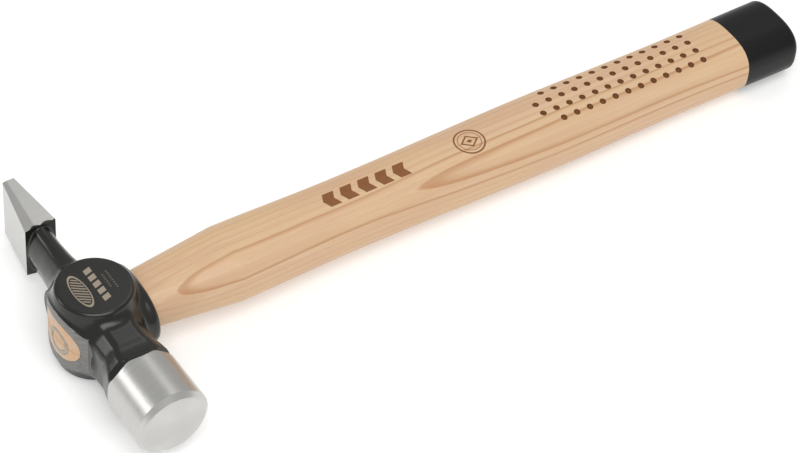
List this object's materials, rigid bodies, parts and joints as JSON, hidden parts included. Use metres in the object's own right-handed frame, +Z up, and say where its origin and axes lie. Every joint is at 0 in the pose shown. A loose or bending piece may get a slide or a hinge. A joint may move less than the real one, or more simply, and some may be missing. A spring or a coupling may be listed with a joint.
{
  "type": "cross-pein hammer",
  "caption": "Bench hammer for smithing: a forged steel head with a round face, flat round cheeks and a wedge-shaped cross pein, on an oval ash handle held by wedges in its eye.",
  "frame": {"origin": "middle of the lower cheek's flat face, which the hammer lies on", "axes": "+X along the handle to its butt, +Y along the head from the striking face to the pein, +Z up through both cheeks"},
  "size_m": [0.3268, 0.1218, 0.0348],
  "materials": {
    "lacquered_steel": "semi-gloss black lacquer on the eye section and necks; polished bare steel on the poll and pein; ground bare steel at the eye's back end",
    "ash_wood": "clear satin varnish on pale ash, the last 25 mm dipped in black lacquer, with rows of small burned pits on the grip",
    "wedge_wood": "sanded hardwood end grain",
    "bare_steel": "ground flush with the eye's end"
  },
  "bodies": {
    "root": {"hammer_head": "lacquered_steel", "handle": "ash_wood", "wooden_wedge": "wedge_wood", "ring_wedge": "bare_steel"}
  },
  "joints": []
}
